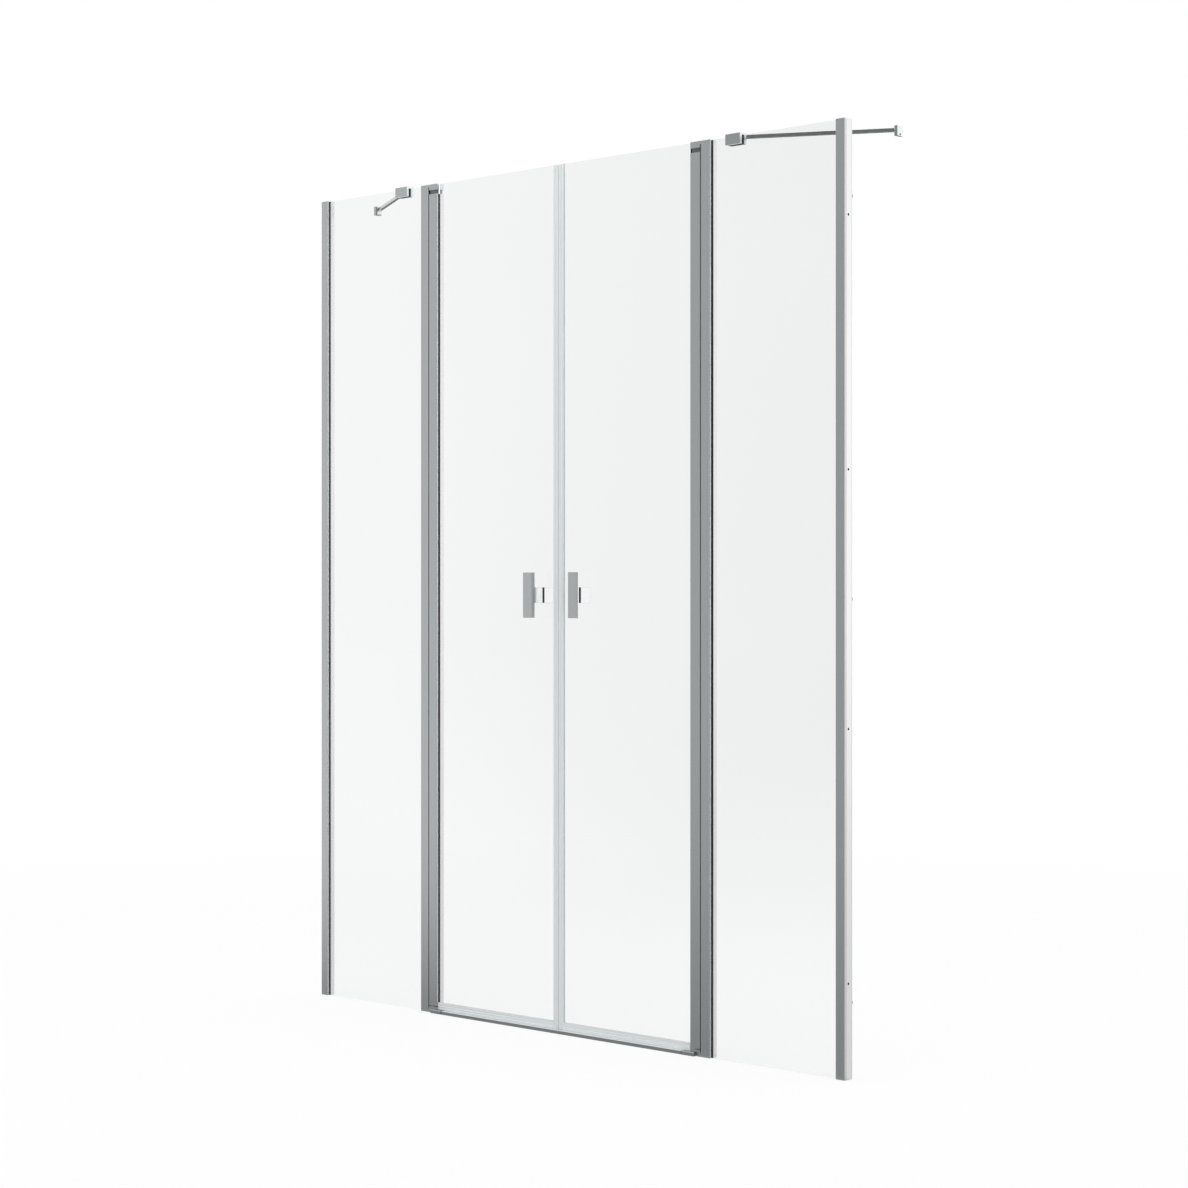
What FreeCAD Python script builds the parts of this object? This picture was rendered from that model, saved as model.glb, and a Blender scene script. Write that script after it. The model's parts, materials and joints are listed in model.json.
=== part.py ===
import FreeCAD, Part
import math
import os
from FreeCAD import Vector

# A recess shower screen: two fixed panes and two doors that swing outwards on rise-and-fall pivots.
# Millimetres. X runs along the screen, -Y is outside, Y = 0 is the middle of the glass, Z = 0 the tray.
# Every piece is drawn for the right-hand side, and the left-hand one is its mirror image.

# Overall
overall_width = 1700.0
overall_height = 2000.0
overrun = 5.0

# Glass
glass_thickness = 6.0
glass_arris = 0.5
glass_top_drop = 1.5
fixed_glass_floor_gap = 1.0
door_glass_floor_gap = 19.5
door_glass_centre_gap = 9.5

# Extruded profiles
profile_depth = 25.0
profile_wall = 1.6
profile_lip = 3.2
profile_corner = 0.3
fit_gap = 0.3
gasket_wall = 0.6
gasket_base = 1.0
gasket_front_lip = 0.4
gasket_back_lip = 3.5

# Wall profile and wall channel
wall_profile_width = 24.0
wall_cavity_depth = 12.0
channel_depth = 11.0
channel_wall = 1.6
channel_groove_width = 1.6
channel_groove_depth = 0.5
wall_hole_radius = 2.75
wall_hole_outer_spacing = 1600.0
wall_hole_inner_spacing = 540.0
wall_cap_thickness = 1.5
wall_cap_spigot = 8.0

# Adjusting screws of the wall profile and their caps
adjuster_radius = 2.0
adjuster_clearance = 0.1
adjuster_head_radius = 3.6
adjuster_head_height = 2.2
adjuster_length = 6.0
adjuster_wall_offset = 6.0
adjuster_height_shares = (0.08, 0.5, 0.92)
screw_cap_radius = 5.5
screw_cap_height = 3.4
screw_cap_pocket_clearance = 0.15
screw_cap_edge = 0.8

# Pivot post, door stile and the groove between them
pivot_axis_reach = 428.95
stile_width = 28.7
stile_floor_gap = 16.8
stile_head_gap = 23.8
stile_slot_depth = 7.4
pivot_groove = 2.5
post_width = 26.9
post_slot_depth = 10.4
screw_port_radius = 3.8
screw_port_bore = 1.9
screw_port_sink = 0.8

# Top arm and bottom bracket
arm_cap_thickness = 7.0
arm_boss_thickness = 7.0
bracket_boss_thickness = 5.5
bracket_toe = 9.3
bracket_screw_radius = 1.8
bracket_screw_length = 18.0
bracket_screw_head_radius = 3.4
bracket_screw_head_height = 2.4
bracket_screw_recess = 4.0
bracket_screw_clearance = 0.3
arm_sweep_clearance = 0.8

# Rise-and-fall pivot
door_lift = 6.0
door_swing_angle = 90.0
cam_radius = 4.6
cam_base_height = 2.5
cam_foot_depth = 2.0
cam_rest_gap = 0.6
cam_neck_height = 2.0
cam_block_height = 12.0
cam_block_gap = 0.1
lower_pin_radius = 2.0
lower_pin_floor = 0.5
lower_pin_head_room = 4.0
pivot_fit = 0.05
top_pin_radius = 3.0
top_pin_depth = 15.0
top_plug_height = 20.0
slide_rest_gap = 0.2
slide_engagement = 3.0
slide_head_room = 1.0
slide_arm_wall = 1.9
slide_liner_wall = 0.6

# Middle seals and their magnets
seal_leg_thickness = 1.5
seal_leg_length = 7.0
seal_web = 1.2
seal_wall = 1.0
seal_meeting_gap = 0.4
magnet_clearance = 0.2

# Drip seals
drip_leg_length = 6.7
drip_web = 1.2
drip_fin_thickness = 1.2
drip_fin_rail_gap = 0.4
drip_lip_reach = 6.0
drip_lip_thickness = 1.0
drip_end_gap = 0.3

# Threshold
rail_front_offset = 6.5
rail_depth = 24.0
rail_height = 8.7
rail_front_height = 7.4
rail_front_slope = 2.4
rail_back_height = 3.0
rail_crest_depth = 14.0
rail_end_gap = 2.0
end_piece_length = 37.0
end_piece_overlap = 16.4
end_piece_proud = 0.5
end_piece_front_radius = 3.0
end_piece_head_gap = 0.3

# Handle
handle_height_centre = 1008.0
grip_inner_reach = 58.9
grip_width = 30.2
grip_height = 105.0
grip_front_offset = 32.3
grip_thick_edge = 9.4
grip_thin_edge = 2.75
grip_edge = 0.7
stem_inner_reach = 53.4
stem_width = 12.7
stem_height = 36.0
stem_edge = 0.6
knob_depth = 28.6
bush_radius = 3.2
bush_hole_clearance = 0.1
bush_front_pad = 0.6
bush_back_pad = 3.0
bush_pad_inset = 0.2
handle_screw_radius = 2.0
handle_screw_clearance = 0.1
handle_screw_depth = 12.0
handle_screw_tip_room = 1.0

# Clamp of the support bar
clamp_pane_share = 0.196
clamp_width = 42.0
clamp_front_jaw = 7.2
clamp_back_jaw = 7.6
clamp_gasket_wall = 0.8
clamp_gasket_roof = 1.5
clamp_back_pad = 3.4
clamp_roof = 3.8
clamp_drop = 18.2
clamp_edge = 0.5
set_screw_radius = 2.5
set_screw_length = 6.5
set_screw_clearance = 0.1
set_screw_spacing = 26.0
set_screw_drop_share = 0.66

# Support bar and wall flange
bar_side = 8.0
bar_edge = 0.5
bar_centre_drop = 1.8
bar_socket_depth = 4.0
bar_socket_gap = 0.1
flange_thickness = 11.0
flange_depth = 18.5
flange_height = 22.0
flange_edge = 4.0
flange_distance = 178.5
flange_below_bar = 3.0
flange_hole_radius = 2.1
flange_hole_depth = 7.0
flange_hole_drop = 7.4

# Places that follow from the sizes above
half_width = overall_width / 2
half_glass = glass_thickness / 2
slot_half = half_glass + gasket_wall
front_y = -(slot_half + profile_lip)
back_y = front_y + profile_depth
glass_top = overall_height - glass_top_drop
wall_profile_face = half_width - wall_profile_width
wall_slot_depth = wall_profile_width - wall_cavity_depth - profile_wall
wall_profile_top = overall_height - wall_cap_thickness
stile_inner = pivot_axis_reach - stile_width / 2
stile_outer = pivot_axis_reach + stile_width / 2
stile_top = overall_height - stile_head_gap
post_inner = stile_outer + pivot_groove
post_outer = post_inner + post_width
end_piece_top = rail_height + end_piece_proud
bracket_base_thickness = end_piece_top + end_piece_head_gap
post_bottom = bracket_base_thickness
post_top = overall_height - arm_cap_thickness
bracket_top = bracket_base_thickness + bracket_boss_thickness
lower_pin_bottom = bracket_base_thickness + lower_pin_floor
arm_underside = post_top - arm_boss_thickness
slide_liner_top = arm_underside + slide_engagement + door_lift + slide_head_room
chamber_inner = stile_inner + stile_slot_depth + profile_wall
chamber_outer = stile_outer - profile_wall
door_glass_notch = pivot_axis_reach - math.hypot(stile_width / 2, front_y) - arm_sweep_clearance
door_glass_edge = stile_inner + stile_slot_depth - gasket_base
cam_rise = door_lift / (2 * math.sin(math.radians(door_swing_angle) / 2))
cam_middle = bracket_top + cam_base_height + cam_rise
cam_block_bottom = cam_middle + cam_rise + cam_rest_gap + cam_neck_height
rail_front = front_y - rail_front_offset
rail_back = rail_front + rail_depth
rail_reach = stile_inner + end_piece_overlap - end_piece_length - rail_end_gap
seal_leg_end = door_glass_centre_gap + seal_leg_length
seal_half_depth = half_glass + seal_leg_thickness
seal_bottom = end_piece_top + drip_fin_rail_gap
drip_leg_top = door_glass_floor_gap + drip_leg_length
clamp_reach = post_outer + clamp_pane_share * (wall_profile_face - post_outer)
clamp_slot_front = -(half_glass + clamp_gasket_wall)
clamp_slot_back = half_glass + clamp_back_pad
clamp_front = clamp_slot_front - clamp_front_jaw
clamp_back = clamp_slot_back + clamp_back_jaw
clamp_bottom = glass_top - clamp_drop
bar_height = overall_height - bar_centre_drop
UP = Vector(0, 0, 1)
ALONG_X = Vector(1, 0, 0)
ALONG_Y = Vector(0, 1, 0)


def block(x0, x1, y0, y1, z0, z1):
    return Part.makeBox(x1 - x0, y1 - y0, z1 - z0, Vector(x0, y0, z0))


def rod(base, axis, radius, length):
    return Part.makeCylinder(radius, length, base, axis)


def rounded_bar(x0, x1, y0, y1, z0, z1, radius):
    """A box whose four upright edges are rounded."""
    bar = block(x0, x1, y0, y1, z0, z1)
    return bar.makeFillet(radius, upright_edges(bar))


def upright_edges(solid):
    return [e for e in solid.Edges if abs(abs(e.tangentAt(e.FirstParameter).z) - 1) < 1e-6]


def section(points, plane_axis, start, length):
    """A closed outline of straight edges, extruded along one axis from start."""
    wire = Part.makePolygon(points + points[:1])
    face = Part.Face(wire)
    face.translate(plane_axis * start)
    return face.extrude(plane_axis * length)


def lengthwise(points_yz, x0, x1):
    """An outline given in Y and Z, extruded along X."""
    return section([Vector(0, y, z) for y, z in points_yz], ALONG_X, x0, x1 - x0)


def upright(points_xy, z0, z1):
    """An outline given in X and Y, extruded along Z."""
    return section([Vector(x, y, 0) for x, y in points_xy], UP, z0, z1 - z0)


def mirrored(solid):
    return solid.mirror(Vector(0, 0, 0), ALONG_X)


def write(name, shape):
    shape.exportStep("parts/%s.step" % name)


def write_pair(name, solid):
    write("right_" + name, solid)
    write("left_" + name, mirrored(solid))


def write_group(name, solids):
    write(name, Part.makeCompound(solids + [mirrored(s) for s in solids]))


# Wall profile, its channel, screws and caps

def wall_hole_heights():
    middle = overall_height / 2
    spacings = (wall_hole_outer_spacing, wall_hole_inner_spacing)
    return [middle + sign * spacing / 2 for spacing in spacings for sign in (-1, 1)]


def adjuster_places():
    x = half_width - adjuster_wall_offset
    return [Vector(x, back_y, overall_height * share) for share in adjuster_height_shares]


def adjuster_hole(place):
    base = place - ALONG_Y * adjuster_length
    return rod(base, ALONG_Y, adjuster_radius + adjuster_clearance, adjuster_length + overrun)


def wall_channel():
    """A U screwed to the wall, its web against the wall and its legs towards the glass."""
    y0 = front_y + profile_wall + fit_gap
    y1 = back_y - profile_wall - fit_gap
    x0 = half_width - channel_depth
    x1 = half_width
    solid = block(x0, x1, y0, y1, 0, wall_profile_top)
    solid = solid.cut(block(x0 - overrun, x1 - channel_wall, y0 + channel_wall, y1 - channel_wall,
                            -overrun, wall_profile_top + overrun))
    middle = (y0 + y1) / 2
    groove = block(x1 - channel_groove_depth, x1 + overrun, y0 + channel_wall,
                   y0 + channel_wall + channel_groove_width, -overrun, wall_profile_top + overrun)
    solid = solid.cut(groove)
    for z in wall_hole_heights():
        base = Vector(x1 - channel_wall - overrun, middle, z)
        solid = solid.cut(rod(base, ALONG_X, wall_hole_radius, channel_wall + overrun + overrun))
    for place in adjuster_places():
        solid = solid.cut(adjuster_hole(place))
    return solid


def wall_chamber(z0, z1, gap):
    return block(wall_profile_face + profile_wall + gap, wall_profile_face + wall_slot_depth - gap,
                 slot_half + profile_wall + gap, back_y - profile_wall - gap, z0, z1)


def wall_profile():
    """An extrusion that hides the channel, with a slot for the fixed pane and a chamber behind it."""
    low = -overrun
    high = wall_profile_top + overrun
    solid = rounded_bar(wall_profile_face, half_width, front_y, back_y, 0, wall_profile_top, profile_corner)
    solid = solid.cut(block(half_width - wall_cavity_depth, half_width + overrun,
                            front_y + profile_wall, back_y - profile_wall, low, high))
    solid = solid.cut(block(wall_profile_face - overrun, wall_profile_face + wall_slot_depth,
                            -slot_half, slot_half, low, high))
    solid = solid.cut(wall_chamber(low, high, 0))
    for place in adjuster_places():
        solid = solid.cut(adjuster_hole(place))
    return solid


def wall_cap():
    plate = rounded_bar(wall_profile_face, half_width, front_y, back_y, wall_profile_top, overall_height,
                        profile_corner)
    spigot = wall_chamber(wall_profile_top - wall_cap_spigot, wall_profile_top, fit_gap)
    return plate.fuse(spigot).removeSplitter()


def adjusting_screw(place):
    shank = rod(place - ALONG_Y * adjuster_length, ALONG_Y, adjuster_radius, adjuster_length)
    head = rod(place, ALONG_Y, adjuster_head_radius, adjuster_head_height)
    return shank.fuse(head).removeSplitter()


def screw_cap(place):
    cup = rod(place, ALONG_Y, screw_cap_radius, screw_cap_height)
    outer = [e for e in cup.Edges if e.BoundBox.YMin > place.y + screw_cap_height / 2]
    cup = cup.makeFillet(screw_cap_edge, outer)
    pocket_radius = adjuster_head_radius + screw_cap_pocket_clearance
    pocket_depth = adjuster_head_height + screw_cap_pocket_clearance
    pocket = rod(place - ALONG_Y * overrun, ALONG_Y, pocket_radius, pocket_depth + overrun)
    return cup.cut(pocket)


# Panes and their gaskets

def slot_gasket(mouth, bottom, z0, z1):
    """A U of rubber that lines a glass slot and stands out of its mouth, most of all behind the pane.

    The mouth and the bottom of the slot are given along X.
    """
    inward = 1 if bottom > mouth else -1
    edge = bottom - inward * gasket_base
    front_lip = mouth - inward * gasket_front_lip
    back_lip = mouth - inward * gasket_back_lip
    x0, x1 = sorted((front_lip, bottom))
    front = block(x0, x1, -slot_half, 0, z0, z1)
    x0, x1 = sorted((back_lip, bottom))
    back = block(x0, x1, 0, slot_half, z0, z1)
    c0, c1 = sorted((back_lip - inward * overrun, edge))
    pane = block(c0, c1, -half_glass, half_glass, z0 - overrun, z1 + overrun)
    return front.fuse(back).cut(pane).removeSplitter()


def post_slot_bottom():
    return post_outer - post_slot_depth


def fixed_gaskets():
    wall_slot_bottom = wall_profile_face + wall_slot_depth
    return [
        slot_gasket(wall_profile_face, wall_slot_bottom, 0, wall_profile_top),
        slot_gasket(post_outer, post_slot_bottom(), fixed_glass_floor_gap, glass_top),
    ]


def ground_pane(x0, x1, z0, z1):
    """A pane with its long front and back edges ground off."""
    pane = block(x0, x1, -half_glass, half_glass, z0, z1)
    return pane.makeChamfer(glass_arris, upright_edges(pane))


def fixed_glass():
    x0 = post_slot_bottom() + gasket_base
    x1 = wall_profile_face + wall_slot_depth - gasket_base
    return ground_pane(x0, x1, fixed_glass_floor_gap, glass_top)


def door_glass():
    """The door's pane, cut away at the upper corner so that the arm can pass it."""
    pane = ground_pane(door_glass_centre_gap, door_glass_edge, door_glass_floor_gap, glass_top)
    notch = block(door_glass_notch, door_glass_edge + overrun, -half_glass - overrun, half_glass + overrun,
                  stile_top - profile_wall, glass_top + overrun)
    hole_radius = bush_radius + bush_hole_clearance
    hole_base = handle_axis_point(-half_glass - overrun)
    hole = rod(hole_base, ALONG_Y, hole_radius, glass_thickness + overrun + overrun)
    return pane.cut(notch).cut(hole)


def door_gasket():
    """The gasket of the stile, which starts above the clip of the drip seal."""
    low = drip_leg_top + drip_end_gap
    return slot_gasket(stile_inner, stile_inner + stile_slot_depth, low, stile_top)


# Pivot post, arm and bracket

def post_slot(z0, z1):
    return block(post_slot_bottom(), post_outer + overrun, -slot_half, slot_half, z0, z1)


def screw_port_places():
    x = (post_inner + post_slot_bottom()) / 2
    inset = profile_wall + screw_port_radius - screw_port_sink
    return [Vector(x, front_y + inset, 0), Vector(x, back_y - inset, 0)]


def pivot_post():
    """A hollow extrusion with a slot for the fixed pane and two round ports for the end screws."""
    low = post_bottom - overrun
    high = post_top + overrun
    solid = rounded_bar(post_inner, post_outer, front_y, back_y, post_bottom, post_top, profile_corner)
    main = block(post_inner + profile_wall, post_slot_bottom() - profile_wall,
                 front_y + profile_wall, back_y - profile_wall, low, high)
    height = post_top - post_bottom
    for place in screw_port_places():
        main = main.cut(rod(place + UP * low, UP, screw_port_radius, height + overrun + overrun))
    side = block(post_slot_bottom(), post_outer - profile_wall,
                 slot_half + profile_wall, back_y - profile_wall, low, high)
    solid = solid.cut(main).cut(side).cut(post_slot(low, high))
    for place in screw_port_places():
        solid = solid.cut(rod(place + UP * low, UP, screw_port_bore, height + overrun + overrun))
    return solid


def end_screw_hole(place, outer_z, inward, plate):
    """The stepped hole of an end screw, from the outer face of an arm or bracket inwards."""
    axis = UP * inward
    outer = Vector(place.x, place.y, outer_z) - axis * overrun
    shank = rod(outer, axis, bracket_screw_radius + bracket_screw_clearance, plate + overrun + overrun)
    head = rod(outer, axis, bracket_screw_head_radius + bracket_screw_clearance,
               bracket_screw_recess + overrun)
    return shank.fuse(head)


def end_screw(place, outer_z, inward):
    axis = UP * inward
    seat = Vector(place.x, place.y, outer_z) + axis * bracket_screw_recess
    shank = rod(seat, axis, bracket_screw_radius, bracket_screw_length)
    head = rod(seat, axis * -1, bracket_screw_head_radius, bracket_screw_head_height)
    return shank.fuse(head).removeSplitter()


def end_screws():
    screws = [end_screw(place, 0, 1) for place in screw_port_places()]
    return screws + [end_screw(place, overall_height, -1) for place in screw_port_places()]


def stepped_plate(plate_inner, plate_z0, plate_z1, boss_z0, boss_z1):
    """A plate on the end of the post that reaches in to plate_inner, with a boss as wide as the stile."""
    plate = rounded_bar(plate_inner, post_outer, front_y, back_y, plate_z0, plate_z1, profile_corner)
    boss = rounded_bar(stile_inner, stile_outer, front_y, back_y, boss_z0, boss_z1, profile_corner)
    return plate.fuse(boss).cut(post_slot(plate_z0 - overrun, plate_z1 + overrun))


def top_arm():
    solid = stepped_plate(stile_inner, post_top, overall_height, arm_underside, post_top)
    solid = solid.cut(slide_space(slide_arm_wall - pivot_fit, arm_underside - overrun, slide_liner_top))
    for place in screw_port_places():
        solid = solid.cut(end_screw_hole(place, overall_height, -1, arm_cap_thickness))
    return solid.removeSplitter()


def bottom_bracket():
    """A foot under the post whose boss stands out over the end of the threshold and carries the door."""
    toe = stile_outer - bracket_toe
    solid = stepped_plate(toe, 0, bracket_base_thickness, bracket_base_thickness, bracket_top)
    solid = solid.cut(cam_foot(cam_block_gap, overrun))
    solid = solid.cut(pivot_bore(lower_pin_bottom, bracket_top + overrun))
    for place in screw_port_places():
        solid = solid.cut(end_screw_hole(place, 0, 1, bracket_base_thickness))
    return solid.removeSplitter()


# Rise-and-fall pivot

def cam_foot(gap, above):
    half = cam_radius + gap
    return block(pivot_axis_reach - half, pivot_axis_reach + half, -half, half,
                 bracket_top - cam_foot_depth, bracket_top + above)


def above_cam_plane(lift):
    """Everything above the sloping plane on which the cams meet, raised by lift."""
    reach = cam_radius + overrun
    slope = cam_rise / cam_radius
    middle = cam_middle + lift
    tall = middle + cam_rise + cam_block_height + overrun
    outline = [
        (-reach, middle - slope * reach), (reach, middle + slope * reach),
        (reach, tall + slope * reach), (-reach, tall + slope * reach),
    ]
    points = [Vector(pivot_axis_reach + x, 0, z) for x, z in outline]
    return section(points, ALONG_Y, -reach, reach + reach)


def pivot_bore(z0, z1):
    base = Vector(pivot_axis_reach, 0, z0)
    return rod(base, UP, lower_pin_radius + pivot_fit, z1 - z0)


def lower_cam():
    """A sleeve cut on a slope, keyed to the bracket by its square foot."""
    base = Vector(pivot_axis_reach, 0, bracket_top)
    sleeve = rod(base, UP, cam_radius, cam_middle + cam_rise + overrun - bracket_top)
    solid = cam_foot(0, 0).fuse(sleeve).cut(above_cam_plane(0))
    return solid.cut(pivot_bore(bracket_top - cam_foot_depth - overrun, cam_block_bottom)).removeSplitter()


def chamber_block(z0, z1):
    return block(chamber_inner + cam_block_gap, chamber_outer - cam_block_gap,
                 front_y + profile_wall + cam_block_gap, back_y - profile_wall - cam_block_gap, z0, z1)


def upper_cam():
    """The follower in the stile: the same slope from above, under a block that fills the stile."""
    top = cam_block_bottom + cam_block_height
    low = cam_middle - cam_rise
    sleeve = rod(Vector(pivot_axis_reach, 0, low), UP, cam_radius, cam_block_bottom - low)
    sleeve = sleeve.common(above_cam_plane(cam_rest_gap))
    solid = sleeve.fuse(chamber_block(cam_block_bottom, top))
    return solid.cut(pivot_bore(low - overrun, top + overrun)).removeSplitter()


def lower_pin():
    high = cam_block_bottom + cam_block_height - lower_pin_head_room
    base = Vector(pivot_axis_reach, 0, lower_pin_bottom)
    return rod(base, UP, lower_pin_radius, high - lower_pin_bottom)


def slide_space(inset, z0, z1):
    """The outline of the arm's boss, drawn in by inset, between two heights."""
    return block(stile_inner + inset, stile_outer - inset, front_y + inset, back_y - inset, z0, z1)


def top_pin():
    """A block that only slides up into the arm, over a round journal on which the door turns."""
    seat = stile_top + slide_rest_gap
    low = stile_top - top_pin_depth
    journal = rod(Vector(pivot_axis_reach, 0, low), UP, top_pin_radius, seat - low)
    inset = slide_arm_wall + slide_liner_wall + pivot_fit
    slider = slide_space(inset, seat, arm_underside + slide_engagement)
    return journal.fuse(slider).removeSplitter()


def top_bush():
    """The liner in the arm that guides the block."""
    liner = slide_space(slide_arm_wall, arm_underside, slide_liner_top)
    hole = slide_space(slide_arm_wall + slide_liner_wall, arm_underside - overrun, slide_liner_top + overrun)
    return liner.cut(hole)


def stile_top_plug():
    solid = chamber_block(stile_top - top_plug_height, stile_top)
    base = Vector(pivot_axis_reach, 0, stile_top - top_pin_depth - pivot_fit)
    return solid.cut(rod(base, UP, top_pin_radius + pivot_fit, top_pin_depth + overrun))


def door_stile():
    """A hollow extrusion round the pivot, with the slot of the door's pane on its free side."""
    low = stile_floor_gap - overrun
    high = stile_top + overrun
    solid = rounded_bar(stile_inner, stile_outer, front_y, back_y,
                        stile_floor_gap, stile_top, profile_corner)
    main = block(chamber_inner, chamber_outer, front_y + profile_wall, back_y - profile_wall, low, high)
    slot = block(stile_inner - overrun, stile_inner + stile_slot_depth, -slot_half, slot_half, low, high)
    side = block(stile_inner + profile_wall, stile_inner + stile_slot_depth,
                 slot_half + profile_wall, back_y - profile_wall, low, high)
    return solid.cut(main).cut(slot).cut(side)


# Seals of the doors

def magnet_seal():
    """A clip on the pane's edge with a hollow nose that holds the magnet."""
    nose_end = door_glass_centre_gap - seal_web
    clip = block(seal_meeting_gap, seal_leg_end, -seal_half_depth, seal_half_depth, seal_bottom, glass_top)
    clip = clip.makeFillet(seal_wall, upright_edges(clip))
    low = seal_bottom - overrun
    high = glass_top + overrun
    clip = clip.cut(block(door_glass_centre_gap, seal_leg_end + overrun, -half_glass, half_glass, low, high))
    hollow = block(seal_meeting_gap + seal_wall, nose_end, -seal_half_depth + seal_wall,
                   seal_half_depth - seal_wall, low, high)
    return clip.cut(hollow)


def magnet_strip():
    gap = seal_wall + magnet_clearance
    return block(seal_meeting_gap + gap, door_glass_centre_gap - seal_web - magnet_clearance,
                 -seal_half_depth + gap, seal_half_depth - gap, seal_bottom, glass_top)


def bottom_seal():
    """A clip under the pane with a fin in front and a lip that leads drips back inside.

    The clip reaches the stile, and the fin and lip end where they pass the boss of the bracket.
    """
    inner = seal_leg_end + drip_end_gap
    foot = door_glass_floor_gap - drip_web
    clip = block(inner, stile_inner - drip_end_gap, -seal_half_depth, seal_half_depth, foot, drip_leg_top)
    clip = clip.cut(block(inner - overrun, stile_inner + overrun, -half_glass, half_glass,
                          door_glass_floor_gap, drip_leg_top + overrun))
    fin = block(inner, door_glass_notch, -seal_half_depth, -seal_half_depth + drip_fin_thickness,
                seal_bottom, foot)
    lip = [
        (0, foot), (drip_lip_reach, seal_bottom),
        (drip_lip_reach + drip_lip_thickness, seal_bottom + drip_lip_thickness),
        (drip_lip_thickness + drip_lip_thickness, foot),
    ]
    return clip.fuse(fin).fuse(lengthwise(lip, inner, door_glass_notch)).removeSplitter()


# Threshold

def threshold_rail():
    crest = rail_front + rail_front_slope
    outline = [
        (rail_front, 0), (rail_front, rail_front_height), (crest, rail_height),
        (crest + rail_crest_depth, rail_height), (rail_back, rail_back_height), (rail_back, 0),
    ]
    return lengthwise(outline, -rail_reach, rail_reach)


def threshold_end():
    """A moulded end that closes the rail and passes under the boss of the bracket."""
    front = rail_front - end_piece_proud
    outer = stile_inner + end_piece_overlap
    solid = block(outer - end_piece_length, outer, front, rail_back, 0, end_piece_top)
    middle = end_piece_top / 2
    crest = [e for e in solid.Edges if e.BoundBox.YMax < front + profile_corner and e.BoundBox.ZMin > middle]
    return solid.makeFillet(end_piece_front_radius, crest)


# Handle

def handle_axis_point(y):
    return Vector(stem_inner_reach + stem_width / 2, y, handle_height_centre)


def handle_screw_hole(y0, y1):
    radius = handle_screw_radius + handle_screw_clearance
    return rod(handle_axis_point(y0), ALONG_Y, radius, y1 - y0)


def handle_grip():
    """A flat bar that thins towards its free edge."""
    outer = grip_inner_reach + grip_width
    front = -grip_front_offset
    outline = [(grip_inner_reach, front), (outer, front), (outer, front + grip_thin_edge),
               (grip_inner_reach, front + grip_thick_edge)]
    grip = upright(outline, handle_height_centre - grip_height / 2, handle_height_centre + grip_height / 2)
    return grip.makeFillet(grip_edge, grip.Edges)


def stem_bottom():
    return handle_height_centre - stem_height / 2


def stem_top():
    return handle_height_centre + stem_height / 2


def lengthways_edges(solid):
    return [e for e in solid.Edges if abs(abs(e.tangentAt(e.FirstParameter).y) - 1) < 1e-6]


def handle_stem():
    """The short arm from the glass to the thick edge of the grip, cut to the slope of the grip's back."""
    base = -(half_glass + bush_front_pad)
    outer = stem_inner_reach + stem_width
    thick_back = -grip_front_offset + grip_thick_edge
    taper_share = (outer - grip_inner_reach) / grip_width
    outer_back = thick_back - taper_share * (grip_thick_edge - grip_thin_edge)
    outline = [(stem_inner_reach, base), (outer, base), (outer, outer_back), (grip_inner_reach, thick_back),
               (stem_inner_reach, thick_back)]
    stem = upright(outline, stem_bottom(), stem_top())
    stem = stem.makeFillet(stem_edge, lengthways_edges(stem))
    return stem.cut(handle_screw_hole(base - handle_screw_depth - handle_screw_tip_room, base + overrun))


def handle_knob():
    base = half_glass + bush_back_pad
    knob = block(stem_inner_reach, stem_inner_reach + stem_width, base, base + knob_depth,
                 stem_bottom(), stem_top())
    front = [e for e in knob.Edges if e.BoundBox.YMax > base + stem_edge]
    knob = knob.makeFillet(stem_edge, front)
    return knob.cut(handle_screw_hole(base - overrun, base + handle_screw_depth + handle_screw_tip_room))


def handle_bush():
    """A sleeve in the hole of the pane, with a thin pad in front of the glass and a thick one behind it."""
    front_y0 = -(half_glass + bush_front_pad)
    back_y1 = half_glass + bush_back_pad
    sleeve = rod(handle_axis_point(-half_glass), ALONG_Y, bush_radius, glass_thickness)
    x0 = stem_inner_reach + bush_pad_inset
    x1 = stem_inner_reach + stem_width - bush_pad_inset
    low = stem_bottom() + bush_pad_inset
    high = stem_top() - bush_pad_inset
    front = block(x0, x1, front_y0, -half_glass, low, high)
    back = block(x0, x1, half_glass, back_y1, low, high)
    solid = sleeve.fuse(front).fuse(back).removeSplitter()
    return solid.cut(handle_screw_hole(front_y0 - overrun, back_y1 + overrun))


def handle_screw():
    front_end = half_glass + bush_front_pad + handle_screw_depth
    back_end = half_glass + bush_back_pad + handle_screw_depth
    return rod(handle_axis_point(-front_end), ALONG_Y, handle_screw_radius, front_end + back_end)


# Support bar with its clamp and wall flange

def bar_ends():
    """The bar's middle line, from inside the clamp's back jaw to inside the wall flange."""
    start = Vector(clamp_reach, clamp_back, bar_height)
    end = Vector(half_width - flange_thickness, flange_distance, bar_height)
    direction = (end - start).normalize()
    return start - direction * bar_socket_depth, end + direction * bar_socket_depth


def square_bar(side, extra):
    start, end = bar_ends()
    length = (end - start).Length + extra
    bar = Part.makeBox(length, side, side, Vector(0, -side / 2, -side / 2))
    direction = end - start
    angle = math.degrees(math.atan2(direction.y, direction.x))
    bar = bar.makeFillet(bar_edge, [e for e in bar.Edges if abs(e.tangentAt(e.FirstParameter).x) > 0.5])
    bar.rotate(Vector(0, 0, 0), UP, angle)
    bar.translate(start)
    return bar


def support_bar():
    return square_bar(bar_side, 0)


def bar_socket():
    return square_bar(bar_side + bar_socket_gap + bar_socket_gap, 0)


def set_screw_places():
    half = set_screw_spacing / 2
    z = glass_top - clamp_drop * set_screw_drop_share
    return [Vector(clamp_reach + sign * half, clamp_slot_back, z) for sign in (-1, 1)]


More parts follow.
